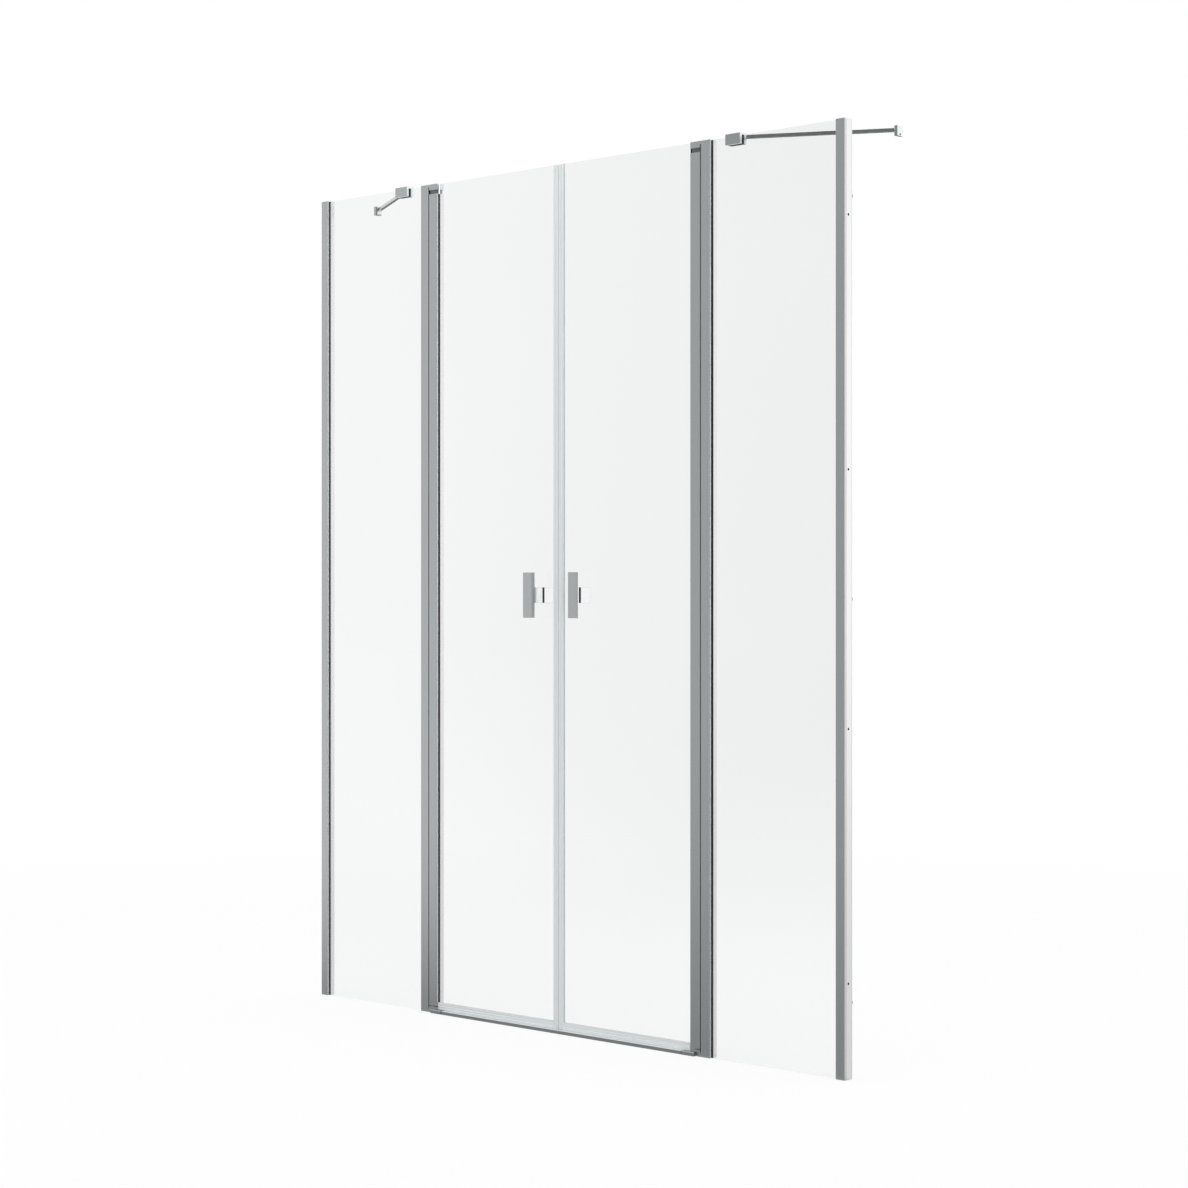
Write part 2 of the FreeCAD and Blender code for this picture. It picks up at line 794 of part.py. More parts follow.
def glass_clamp():
    half = clamp_width / 2
    top = glass_top + clamp_gasket_roof + clamp_roof
    solid = block(clamp_reach - half, clamp_reach + half, clamp_front, clamp_back, clamp_bottom, top)
    solid = solid.makeFillet(clamp_edge, solid.Edges)
    slot = block(clamp_reach - half - overrun, clamp_reach + half + overrun,
                 clamp_slot_front, clamp_slot_back, clamp_bottom - overrun, glass_top + clamp_gasket_roof)
    solid = solid.cut(slot).cut(bar_socket())
    for place in set_screw_places():
        radius = set_screw_radius + set_screw_clearance
        solid = solid.cut(rod(place - ALONG_Y * clamp_back_pad, ALONG_Y, radius, clamp_back + overrun))
    return solid


def clamp_gasket():
    """The lining of the clamp's slot, with a thick pad behind the pane for the set screws to press on."""
    half = clamp_width / 2
    lining = block(clamp_reach - half, clamp_reach + half, clamp_slot_front, clamp_slot_back,
                   clamp_bottom, glass_top + clamp_gasket_roof)
    pane = block(clamp_reach - half - overrun, clamp_reach + half + overrun, -half_glass, half_glass,
                 clamp_bottom - overrun, glass_top)
    return lining.cut(pane)


def set_screw(place):
    return rod(place, ALONG_Y, set_screw_radius, set_screw_length)


def wall_flange():
    """A block on the wall, rounded away from it, with a tapped hole below the bar's socket."""
    z_middle = bar_height - flange_below_bar
    x0 = half_width - flange_thickness
    solid = block(x0, half_width, flange_distance - flange_depth / 2, flange_distance + flange_depth / 2,
                  z_middle - flange_height / 2, z_middle + flange_height / 2)
    nose = [e for e in solid.Edges if e.BoundBox.XMax < x0 + profile_corner]
    solid = solid.makeFillet(flange_edge, nose)
    base = Vector(half_width - flange_hole_depth, flange_distance, z_middle - flange_hole_drop)
    hole = rod(base, ALONG_X, flange_hole_radius, flange_hole_depth + overrun)
    return solid.cut(bar_socket()).cut(hole)


def main():
    os.makedirs("parts", exist_ok=True)
    write_pair("wall_channel", wall_channel())
    write_pair("wall_profile", wall_profile())
    write_pair("fixed_glass", fixed_glass())
    write_pair("pivot_post", pivot_post())
    write_pair("top_pivot_arm", top_arm())
    write_pair("bottom_pivot_bracket", bottom_bracket())
    write_pair("threshold_end", threshold_end())
    write_pair("glass_clamp", glass_clamp())
    write_pair("support_bar", support_bar())
    write_pair("wall_flange", wall_flange())
    write("threshold_rail", threshold_rail())
    write_group("fixed_glazing_gaskets", fixed_gaskets())
    write_group("wall_profile_caps", [wall_cap()])
    write_group("adjusting_screws", [adjusting_screw(place) for place in adjuster_places()])
    write_group("screw_caps", [screw_cap(place) for place in adjuster_places()])
    write_group("pivot_end_screws", end_screws())
    write_group("lower_cams", [lower_cam()])
    write_group("lower_pivot_pins", [lower_pin()])
    write_group("top_pivot_bushes", [top_bush()])
    write_group("clamp_gaskets", [clamp_gasket()])
    write_group("clamp_set_screws", [set_screw(place) for place in set_screw_places()])
    write_pair("top_pivot_pin", top_pin())
    write_pair("door_stile", door_stile())
    write_pair("door_glass", door_glass())
    write_pair("door_gasket", door_gasket())
    write_pair("upper_cam", upper_cam())
    write_pair("stile_top_plug", stile_top_plug())
    write_pair("magnet_seal", magnet_seal())
    write_pair("magnet_strip", magnet_strip())
    write_pair("bottom_seal", bottom_seal())
    write_pair("handle_grip", handle_grip())
    write_pair("handle_stem", handle_stem())
    write_pair("handle_knob", handle_knob())
    write_pair("handle_bush", handle_bush())
    write_pair("handle_screw", handle_screw())


main()
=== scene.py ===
"""The looks of a recess shower screen: satin profiles, clear panes, translucent seals and rubber gaskets.

Metres. X runs along the screen, -Y is outside, and Z = 0 is the tray.
"""
import json
import math

import bmesh
import bpy
from mathutils import Matrix, Vector


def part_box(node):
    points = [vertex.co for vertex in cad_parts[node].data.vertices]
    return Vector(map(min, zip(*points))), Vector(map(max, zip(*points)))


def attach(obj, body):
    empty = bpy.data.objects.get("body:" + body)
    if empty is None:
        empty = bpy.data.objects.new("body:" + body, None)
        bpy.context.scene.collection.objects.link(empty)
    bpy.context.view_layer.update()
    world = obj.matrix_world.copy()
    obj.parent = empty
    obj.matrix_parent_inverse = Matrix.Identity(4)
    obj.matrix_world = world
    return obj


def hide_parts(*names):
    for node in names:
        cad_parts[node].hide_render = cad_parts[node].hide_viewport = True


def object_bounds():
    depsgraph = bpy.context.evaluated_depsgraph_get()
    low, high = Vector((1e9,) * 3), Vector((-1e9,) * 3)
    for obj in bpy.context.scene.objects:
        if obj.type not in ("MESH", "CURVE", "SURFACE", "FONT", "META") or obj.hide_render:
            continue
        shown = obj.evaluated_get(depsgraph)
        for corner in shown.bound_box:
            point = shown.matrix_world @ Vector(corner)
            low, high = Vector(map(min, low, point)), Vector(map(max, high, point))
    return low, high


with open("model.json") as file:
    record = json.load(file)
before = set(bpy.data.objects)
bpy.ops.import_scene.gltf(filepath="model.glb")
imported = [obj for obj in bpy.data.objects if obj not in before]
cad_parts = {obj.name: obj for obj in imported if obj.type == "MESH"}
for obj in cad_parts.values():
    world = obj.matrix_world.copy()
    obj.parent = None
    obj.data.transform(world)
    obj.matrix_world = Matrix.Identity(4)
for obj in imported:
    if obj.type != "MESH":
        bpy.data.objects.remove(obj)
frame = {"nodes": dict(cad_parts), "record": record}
cad_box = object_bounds()

# Camera
CAMERA_PLACE = (4.3721, -4.3021, 1.0106)
CAMERA_TURN = math.radians(44.725)
LENS = 80.73
SENSOR = 36.0

# Lamps
LAMPS = {
    "back_right_softbox": {"place": (3.6, 3.9, 1.9), "aim": (0, 0, 1.2), "size": 3.4, "power": 26},
    "overhead_softbox": {"place": (0, -0.6, 4.4), "aim": (0, 0, 0), "size": 2.6, "power": 40},
}

# World: levels of light, where 1 is white, and the dim side in front
WORLD_FILL = 0.92
WORLD_DARK = 0.22
WORLD_DARK_IN_GLASS = 0.0
DARK_SIDE_TURN = math.radians(280)
DARK_SIDE_AXIS = (math.cos(DARK_SIDE_TURN), math.sin(DARK_SIDE_TURN), 0)
DARK_SIDE_INNER = math.cos(math.radians(46))
DARK_SIDE_OUTER = math.cos(math.radians(64))

# Floor: its size and finish, and where it fades to white, by distance from the middle of the base
FLOOR_SIZE = 60.0
FLOOR_DROP = 0.0004
FLOOR_DIFFUSE_SHARE = 0.14
FLOOR_COLOUR = (0.86, 0.86, 0.86, 1)
FLOOR_FILL = 0.57
FLOOR_FADE_START = 2.2
FLOOR_FADE_END = 5.0

# Floor as metal mirrors it: levels and distances, in front, behind and far behind on the left
FRONT_LEVEL = 0.26
FRONT_FAR_LEVEL = 0.42
FRONT_START = 0.5
FRONT_END = 3.4
FRONT_AXIS = (0, -1, 0)
FRONT_EDGE = 0.03
BACK_LEVEL = 1.1
BACK_LEFT_LEVEL = 0.08
BACK_LEFT_AXIS = (-0.7071, 0.7071, 0)
BACK_LEFT_OUTER = 0.2
BACK_LEFT_INNER = 0.8
BACK_LEFT_START = 1.5
BACK_LEFT_END = 4.0

# Floor as glass mirrors it: a share that falls from 1 at the base to a half at this reach
GLASS_FLOOR_REACH = 3.5
GLASS_FLOOR_FAR_SHARE = 0.1
GLASS_FLOOR_NEAR_SHARE = 0.85

# Fasteners
SET_SCREW_KEY = 0.0025
SET_SCREW_KEY_DEPTH = 0.0024
SET_SCREW_CHAMFER = 0.0004
HEAD_HEIGHT = 0.0024
HEAD_EDGE = 0.0007
SHANK_SHARE = 1.8 / 3.4
CROSS_LENGTH = 0.0042
CROSS_WIDTH = 0.0010
CROSS_DEPTH = 0.0015
ROUND_STEPS = 48
EDGE_STEPS = 5
HEX_SIDES = 6
WELD_DISTANCE = 1e-6

# Noise: frequencies per metre along each axis, and how its values spread
UPRIGHT_GRAIN = (2600, 2600, 14)
LEVEL_GRAIN = (14, 2600, 2600)
MOTTLE_GRAIN = (420, 420, 420)
UPRIGHT_LINES = (900, 900, 1.2)
LEVEL_LINES = (1.2, 900, 900)
RUBBER_BLOOM = (700, 700, 60)
MOULD_SPARK = (1500, 1500, 1500)
MOULD_CLOUD = (90, 90, 90)
GLASS_WAVES = (2.5, 2.5, 7.0)
GLASS_TINT = (1.5, 1.5, 1.5)
SMOOTH_DETAIL = 1.0
COMMON_DETAIL = 3.0
FINE_DETAIL = 4.0
FINEST_DETAIL = 5.0
COMMON_NOISE = 0.55
SPARK_NOISE = 0.6
MOTTLE_NOISE = 0.7
NOISE_LOW = 0.25
NOISE_HIGH = 0.75
DARK_SHADE_AT = 0.28
LIGHT_SHADE_AT = 0.72
BUMP_DEPTH = 0.0002

# Metals: dark and light shades, finishes, and faces with painted light: a painted highlight, shade or
# reflection on one side of a piece
ALUMINIUM = ((0.492, 0.520, 0.526), (0.615, 0.647, 0.654))
DARK_ALUMINIUM = ((0.165, 0.176, 0.179), (0.235, 0.249, 0.252))
CHROME = ((0.48, 0.50, 0.505), (0.58, 0.605, 0.61))
GRIP_CHROME = ((0.53, 0.555, 0.56), (0.645, 0.675, 0.68))
STEM_CHROME = ((0.59, 0.60, 0.60), (0.67, 0.68, 0.68))
STEEL = ((0.42, 0.42, 0.43), (0.56, 0.56, 0.57))
# Painted shade: the threshold and its ends are darkened to this share of the aluminium, standing in for the
# shade down by the floor.
THRESHOLD_PAINTED_SHADE_SHARE = 0.8
ALUMINIUM_FINISH = {"roughness": (0.30, 0.44), "bump": 0.06}
DARK_FINISH = {"roughness": (0.30, 0.44), "bump": 0.05}
CHROME_FINISH = {"roughness": (0.20, 0.32), "bump": 0.03}
GRIP_FINISH = {"roughness": (0.24, 0.36), "bump": 0.03}
STEEL_FINISH = {"roughness": (0.25, 0.40), "bump": 0.05}
# Painted highlight: the profiles' X-facing sides get a lighter, whiter colour that stands in for the light
# falling on them from the side.
PROFILE_SIDES_PAINTED_HIGHLIGHT = {"axis": "X", "colour": (0.60, 0.606, 0.605, 1), "matt": False}
# Painted shade: the grip's X-facing sides get a dark matt colour that stands in for the shade and dim
# reflection on them.
GRIP_SIDES_PAINTED_SHADE = {"axis": "X", "colour": (0.37, 0.388, 0.392, 1), "matt": True}
# Painted reflection: the stem's and knob's Y-facing fronts get a light matt colour that stands in for the
# bright grip side they mirror.
STEM_FRONTS_PAINTED_REFLECTION = {"axis": "Y", "colour": (0.72, 0.745, 0.75, 1), "matt": True}
# Painted highlight: the rail's top faces get a light matt colour that stands in for the light falling on
# them from above.
RAIL_TOP_PAINTED_HIGHLIGHT = {"axis": "Z", "colour": (0.70, 0.718, 0.721, 1), "matt": True}
FACING_START = 0.5
FACING_END = 0.9

# Glass, seals, rubber and plastic
GLASS = ((0.922, 0.932, 0.931), (0.932, 0.942, 0.941))
GLASS_IOR = 1.5
GLASS_BUMP = 0.05
GLASS_BUMP_DEPTH = 0.0004
GLASS_SHADOW_TINT = (0.93, 0.94, 0.94, 1)
VINYL = ((0.925, 0.958, 0.963), (0.958, 0.985, 0.99))
VINYL_ROUGHNESS = (0.2, 0.32)
VINYL_BUMP = 0.07
VINYL_IOR = 1.46
VINYL_TRANSMISSION = 0.3
VINYL_SHADOW_TINT = (0.95, 0.96, 0.96, 1)
RUBBER = ((0.045, 0.047, 0.048), (0.07, 0.072, 0.073))
GLAZING_RUBBER = ((0.34, 0.347, 0.348), (0.42, 0.428, 0.429))
RUBBER_ROUGHNESS = (0.55, 0.8)
RUBBER_BUMP = 0.25
GREY_PLASTIC = ((0.30, 0.31, 0.31), (0.40, 0.41, 0.41))
MAGNET = ((0.90, 0.915, 0.915), (0.95, 0.96, 0.96))
PLASTIC_ROUGHNESS = (0.38, 0.58)
PLASTIC_BUMP = 0.3
WHITE = (1, 1, 1, 1)

# Places of the colour sockets on a Mix node, whose names aren't unique
MIX_COLOUR_A = 6
MIX_COLOUR_B = 7
MIX_COLOUR_RESULT = 2

# Node graphs


def feed(tree, socket, value):
    """Sets a socket to a plain value, or links another socket to it."""
    if isinstance(value, bpy.types.NodeSocket):
        tree.links.new(value, socket)
    else:
        socket.default_value = value


def feed_all(tree, node, inputs):
    """Feeds the inputs of a node by their labels."""
    for label, value in inputs.items():
        feed(tree, node.inputs[label], value)


def add(tree, kind, inputs=None, **settings):
    """A node of that kind, with its settings, and its inputs fed by their labels."""
    node = tree.nodes.new(kind)
    for name, value in settings.items():
        setattr(node, name, value)
    feed_all(tree, node, inputs or {})
    return node


def computed(tree, operation, *values):
    """The result of a Math node on numbers or sockets."""
    node = add(tree, "ShaderNodeMath", operation=operation)
    for socket, value in zip(node.inputs, values):
        feed(tree, socket, value)
    return node.outputs["Value"]


def between(tree, share, low, high):
    """A level from low at 0 to high at 1, each a number or a socket."""
    node = add(tree, "ShaderNodeMix", {"Factor": share, "A": low, "B": high}, data_type="FLOAT")
    return node.outputs["Result"]


def smooth_step(tree, value, start, end):
    """0 before the start, 1 past the end, and a smooth rise between them."""
    ends = {"Value": value, "From Min": start, "From Max": end, "To Min": 0.0, "To Max": 1.0}
    node = add(tree, "ShaderNodeMapRange", ends, interpolation_type="SMOOTHSTEP", clamp=True)
    return node.outputs["Result"]


def mixed_colour(tree, share, colour, other):
    """A colour that goes over to the other one as the share goes from 0 to 1."""
    node = add(tree, "ShaderNodeMix", {"Factor": share}, data_type="RGBA")
    feed(tree, node.inputs[MIX_COLOUR_A], colour)
    feed(tree, node.inputs[MIX_COLOUR_B], other)
    return node.outputs[MIX_COLOUR_RESULT]


def mixed_surface(tree, share, first, second):
    """Makes the material's surface a mix of two shaders."""
    node = add(tree, "ShaderNodeMixShader", {"Fac": share})
    for socket, shader in zip(node.inputs[1:], (first, second)):
        feed(tree, socket, shader)
    feed(tree, tree.nodes["Material Output"].inputs["Surface"], node.outputs["Shader"])


def new_material(name):
    material = bpy.data.materials.new(name)
    material.use_nodes = True
    tree = material.node_tree
    return material, tree, tree.nodes["Principled BSDF"]


def grain(tree, scales, detail=COMMON_DETAIL, roughness=COMMON_NOISE):
    """Noise in the part's own metres, with one frequency for each axis. Returns its value socket."""
    place = add(tree, "ShaderNodeTexCoord")
    mapping = add(tree, "ShaderNodeMapping", {"Vector": place.outputs["Object"], "Scale": scales})
    noise = add(tree, "ShaderNodeTexNoise", {"Vector": mapping.outputs["Vector"], "Scale": 1.0,
                                             "Detail": detail, "Roughness": roughness})
    return noise.outputs["Fac"]


def ranged(tree, noise, low, high):
    """The noise, which lies about a half, spread over low to high."""
    ends = {"Value": noise, "From Min": NOISE_LOW, "From Max": NOISE_HIGH, "To Min": low, "To Max": high}
    return add(tree, "ShaderNodeMapRange", ends, clamp=True).outputs["Result"]


def shades(tree, noise, dark, light):
    """A colour between two shades, chosen by the noise."""
    ramp = add(tree, "ShaderNodeValToRGB", {"Fac": noise})
    for end, place, shade in zip(ramp.color_ramp.elements, (DARK_SHADE_AT, LIGHT_SHADE_AT), (dark, light)):
        end.position = place
        end.color = (*shade, 1)
    return ramp.outputs["Color"]


def bumped(tree, noise, strength, depth=BUMP_DEPTH):
    """A normal that the noise tilts."""
    bump = add(tree, "ShaderNodeBump", {"Height": noise, "Strength": strength, "Distance": depth})
    return bump.outputs["Normal"]


# Materials


# Mask for the painted highlight, shade and reflection that brushed_metal puts on one side of a piece.
def faces_along(tree, axis):
    """1 on the faces that look along the axis, either way, and 0 on the rest."""
    place = add(tree, "ShaderNodeTexCoord")
    facing = add(tree, "ShaderNodeSeparateXYZ", {"Vector": place.outputs["Normal"]})
    return smooth_step(tree, computed(tree, "ABSOLUTE", facing.outputs[axis]), FACING_START, FACING_END)


def brushed_metal(name, grain_scales, colours, finish, painted_light_faces=None):
    """Anodised or plated metal: drawn streaks along the grain and a fine mottle over them.

    The faces along one axis can get a painted highlight, shade or reflection in place of the metal's
    colour, and can be made matt so that this painted colour shows.
    """
    material, tree, shader = new_material(name)
    streaks = grain(tree, grain_scales, FINE_DETAIL)
    mottle = grain(tree, MOTTLE_GRAIN, FINEST_DETAIL, MOTTLE_NOISE)
    colour = shades(tree, mottle, *colours)
    metallic = 1.0
    # Painted light: the faces along the axis take a painted highlight, shade or reflection colour, made
    # matt where asked.
    if painted_light_faces:
        facing = faces_along(tree, painted_light_faces["axis"])
        colour = mixed_colour(tree, facing, colour, painted_light_faces["colour"])
        if painted_light_faces["matt"]:
            metallic = between(tree, facing, 1.0, 0.0)
    feed_all(tree, shader, {
        "Base Color": colour,
        "Metallic": metallic,
        "Roughness": ranged(tree, streaks, *finish["roughness"]),
        "Normal": bumped(tree, streaks, finish["bump"]),
    })
    return material


def let_lamps_through(tree, shader, tint):
    """Makes the shadow that the material casts a faint tint."""
    rays = add(tree, "ShaderNodeLightPath")
    clear = add(tree, "ShaderNodeBsdfTransparent", {"Color": tint})
    mixed_surface(tree, rays.outputs["Is Shadow Ray"], shader.outputs["BSDF"], clear.outputs["BSDF"])


def clear_glass():
    """Toughened glass with a faint waviness. Lamps shine through it."""
    material, tree, shader = new_material("clear_glass")
    waves = grain(tree, GLASS_WAVES, SMOOTH_DETAIL)
    tint = grain(tree, GLASS_TINT, SMOOTH_DETAIL)
    feed_all(tree, shader, {
        "Base Color": shades(tree, tint, *GLASS),
        "Transmission Weight": 1.0,
        "IOR": GLASS_IOR,
        "Roughness": 0.0,
        "Normal": bumped(tree, waves, GLASS_BUMP, GLASS_BUMP_DEPTH),
    })
    let_lamps_through(tree, shader, GLASS_SHADOW_TINT)
    return material


def clear_seal(name, line_scales):
    """Translucent vinyl with drawn lines along its length."""
    material, tree, shader = new_material(name)
    lines = grain(tree, line_scales)
    feed_all(tree, shader, {
        "Base Color": shades(tree, lines, *VINYL),
        "Roughness": ranged(tree, lines, *VINYL_ROUGHNESS),
        "Transmission Weight": VINYL_TRANSMISSION,
        "IOR": VINYL_IOR,
        "Normal": bumped(tree, lines, VINYL_BUMP),
    })
    let_lamps_through(tree, shader, VINYL_SHADOW_TINT)
    return material


def rubber(name, colours):
    """Rubber with the uneven bloom of its surface."""
    material, tree, shader = new_material(name)
    bloom = grain(tree, RUBBER_BLOOM, FINE_DETAIL)
    feed_all(tree, shader, {
        "Base Color": shades(tree, bloom, *colours),
        "Roughness": ranged(tree, bloom, *RUBBER_ROUGHNESS),
        "Normal": bumped(tree, bloom, RUBBER_BUMP),
    })
    return material


def moulded_plastic(name, colours):
    """Plastic with the fine spark grain of its mould."""
    material, tree, shader = new_material(name)
    spark = grain(tree, MOULD_SPARK, roughness=SPARK_NOISE)
    cloud = grain(tree, MOULD_CLOUD)
    feed_all(tree, shader, {
        "Base Color": shades(tree, cloud, *colours),
        "Roughness": ranged(tree, spark, *PLASTIC_ROUGHNESS),
        "Normal": bumped(tree, spark, PLASTIC_BUMP),
    })
    return material


def slot_materials():
    """One material for each of the record's slots."""
    return {
        # The slot keeps its name; its X-facing sides carry a painted highlight.
        "satin_aluminium": brushed_metal("satin_aluminium", UPRIGHT_GRAIN, ALUMINIUM, ALUMINIUM_FINISH,
                                         PROFILE_SIDES_PAINTED_HIGHLIGHT),
        "dark_aluminium": brushed_metal("dark_aluminium", LEVEL_GRAIN, DARK_ALUMINIUM, DARK_FINISH),
        "satin_chrome": brushed_metal("satin_chrome", LEVEL_GRAIN, CHROME, CHROME_FINISH),
        "clear_glass": clear_glass(),
        "clear_seal": clear_seal("clear_seal", UPRIGHT_LINES),
        "black_rubber": rubber("black_rubber", RUBBER),
        "grey_plastic": moulded_plastic("grey_plastic", GREY_PLASTIC),
        "magnet": moulded_plastic("magnet", MAGNET),
        "steel": brushed_metal("steel", LEVEL_GRAIN, STEEL, STEEL_FINISH),
    }


def level_materials():
    """The slots' materials for pieces that lie along X."""
    return {
        "satin_aluminium": brushed_metal("satin_aluminium_level", LEVEL_GRAIN, ALUMINIUM, ALUMINIUM_FINISH),
        "clear_seal": clear_seal("clear_seal_level", LEVEL_LINES),
    }


def piece_materials():
    """The materials of pieces that don't look like the rest of their slot: painted shade on the sill, a
    painted highlight on the rail top, painted shade on the grip sides and a painted reflection on the stem
    and knob fronts.
    """
    # Painted shade: the sill colours are the aluminium darkened for the shade by the floor.
    painted_shade_sill = [[c * THRESHOLD_PAINTED_SHADE_SHARE for c in shade] for shade in ALUMINIUM]
    rail = brushed_metal("satin_aluminium_rail_painted_shade_and_highlight", LEVEL_GRAIN, painted_shade_sill, ALUMINIUM_FINISH, RAIL_TOP_PAINTED_HIGHLIGHT)
    grip = brushed_metal("satin_chrome_grip_painted_shade", UPRIGHT_GRAIN, GRIP_CHROME, GRIP_FINISH, GRIP_SIDES_PAINTED_SHADE)
    stem = brushed_metal("satin_chrome_stem_painted_reflection", LEVEL_GRAIN, STEM_CHROME, CHROME_FINISH, STEM_FRONTS_PAINTED_REFLECTION)
    glazing = rubber("black_rubber_glazing", GLAZING_RUBBER)
    return {
        "threshold_end": brushed_metal("satin_aluminium_threshold_painted_shade", LEVEL_GRAIN, painted_shade_sill, ALUMINIUM_FINISH),
        "threshold_rail": rail,
        "handle_grip": grip,
        "handle_stem": stem,
        "handle_knob": stem,
        "door_gasket": glazing,
        "fixed_glazing_gaskets": glazing,
    }


def dress_nodes(materials):
    """Gives every CAD node the material of its slot, with the grain along the piece."""
    level = level_materials()
    by_piece = piece_materials()
    for part in frame["record"]["subparts"]:
        name, slot = part["node"], part["material_slot"]
        material = materials[slot]
        low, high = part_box(name)
        if high.x - low.x > high.z - low.z:
            material = level.get(slot, material)
        piece = name.removeprefix("left_").removeprefix("right_")
        slots = frame["nodes"][name].data.materials
        slots.clear()
        slots.append(by_piece.get(piece, material))


# Fasteners with their drives


def islands(node):
    """The lowest and highest corner of each separate solid in a CAD node."""
    mesh = bmesh.new()
    mesh.from_mesh(frame["nodes"][node].data)
    bmesh.ops.remove_doubles(mesh, verts=mesh.verts, dist=WELD_DISTANCE)
    boxes, seen = [], set()
    for start in mesh.verts:
        if start in seen:
            continue
        group, waiting = [], [start]
        seen.add(start)
        while waiting:
            vert = waiting.pop()
            group.append(vert.co.copy())
            for edge in vert.link_edges:
                other = edge.other_vert(vert)
                if other not in seen:
                    seen.add(other)
                    waiting.append(other)
        boxes.append((Vector(map(min, zip(*group))), Vector(map(max, zip(*group)))))
    mesh.free()
    return boxes


def circle(steps):
    """The cosine and sine of even turns round a circle."""
    turns = [2 * math.pi * i / steps for i in range(steps)]
    return [(math.cos(a), math.sin(a)) for a in turns]


def turned(mesh, profile):
    """Adds the closed solid that a profile of (radius, height) points sweeps about Z, from axis to axis."""
    rings = [[mesh.verts.new((radius * c, radius * s, height)) for c, s in circle(ROUND_STEPS)]
             for radius, height in profile[1:-1]]
    first = mesh.verts.new((0, 0, profile[0][1]))
    last = mesh.verts.new((0, 0, profile[-1][1]))
    for i in range(ROUND_STEPS):
        j = (i + 1) % ROUND_STEPS
        mesh.faces.new((first, rings[0][j], rings[0][i]))
        mesh.faces.new((last, rings[-1][i], rings[-1][j]))
        for low, high in zip(rings, rings[1:]):
            mesh.faces.new((low[i], low[j], high[j], high[i]))


def prism(mesh, outline, low, high):
    """Adds the upright solid over an outline of (x, y) points."""
    bottom = [mesh.verts.new((x, y, low)) for x, y in outline]
    top = [mesh.verts.new((x, y, high)) for x, y in outline]
    mesh.faces.new(bottom[::-1])
    mesh.faces.new(top)
    for i in range(len(outline)):
        j = (i + 1) % len(outline)
        mesh.faces.new((bottom[i], bottom[j], top[j], top[i]))


def linked_object(name, mesh):
    """A scene object with the finished bmesh, which is freed."""
    data = bpy.data.meshes.new(name)
    mesh.to_mesh(data)
    mesh.free()
    made = bpy.data.objects.new(name, data)
    bpy.context.scene.collection.objects.link(made)
    return made


def drawn_object(name, draw):
    mesh = bmesh.new()
    draw(mesh)
    bmesh.ops.recalc_face_normals(mesh, faces=mesh.faces)
    return linked_object(name, mesh)


def cut(body, tool):
    """The body's mesh with the tool's solid taken out of it. Both objects are used up."""
    change = body.modifiers.new("cut", "BOOLEAN")
    change.operation = "DIFFERENCE"
    change.solver = "EXACT"
    change.object = tool
    bpy.context.view_layer.update()
    result = bpy.data.meshes.new_from_object(body.evaluated_get(bpy.context.evaluated_depsgraph_get()))
    for used in (body, tool):
        bpy.data.objects.remove(used)
    return result


def driven_screw(name, profile, drive, depth):
    """The mesh of a turned screw along Z with its drive, an outline, sunk into its top."""
    length = profile[-1][1]
    body = drawn_object(name + "_body", lambda mesh: turned(mesh, profile))
    tool = drawn_object(name + "_drive", lambda mesh: prism(mesh, drive, length - depth, length + depth))
    return cut(body, tool)


def set_screw_mesh(radius, length):
    """A grub screw with its hexagon socket."""
    tip = radius - SET_SCREW_CHAMFER
    profile = [(0, 0), (tip, 0), (radius, SET_SCREW_CHAMFER), (radius, length - SET_SCREW_CHAMFER),
               (tip, length), (0, length)]
    key_radius = SET_SCREW_KEY / math.sqrt(3)
    key = [(key_radius * c, key_radius * s) for c, s in circle(HEX_SIDES)]
    return driven_screw("set_screw", profile, key, SET_SCREW_KEY_DEPTH)


def end_screw_mesh(head_radius, length):
    """A pan-head screw with a cross recess."""
    shank = head_radius * SHANK_SHARE
    seat = length - HEAD_HEIGHT
    rim = [(head_radius - HEAD_EDGE * (1 - math.cos(a)), length - HEAD_EDGE * (1 - math.sin(a)))
           for a in [math.pi / 2 * i / EDGE_STEPS for i in range(EDGE_STEPS + 1)]]
    profile = [(0, 0), (shank, 0), (shank, seat), (head_radius, seat), *rim, (0, length)]
    arm, half = CROSS_LENGTH / 2, CROSS_WIDTH / 2
    corner = [(half, half), (half, arm), (-half, arm)]
    quarter_turns = ((1, 0), (0, 1), (-1, 0), (0, -1))
    cross = [(x * c - y * s, x * s + y * c) for c, s in quarter_turns for x, y in corner]
    return driven_screw("end_screw", profile, cross, CROSS_DEPTH)


def replace_fasteners(name, node, shape, places, material):
    """Puts copies of a mesh, each moved by its own matrix, in place of a CAD node."""
    mesh = bmesh.new()
    for place in places:
        moved = shape.copy()
        moved.transform(place)
        mesh.from_mesh(moved)
        bpy.data.meshes.remove(moved)
    piece = linked_object(name, mesh)
    piece.data.materials.append(material)
    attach(piece, "frame")
    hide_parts(node)


def socket_set_screws(material):
    """Set screws that point inwards along Y, with their sockets at the back."""
    boxes = islands("clamp_set_screws")
    low, high = boxes[0]
    shape = set_screw_mesh((high.x - low.x) / 2, high.y - low.y)
    along_y = Matrix.Rotation(-math.pi / 2, 4, "X")
    tips = [Vector(((lo.x + hi.x) / 2, lo.y, (lo.z + hi.z) / 2)) for lo, hi in boxes]
    places = [Matrix.Translation(tip) @ along_y for tip in tips]
    replace_fasteners("socket_set_screws", "clamp_set_screws", shape, places, material)


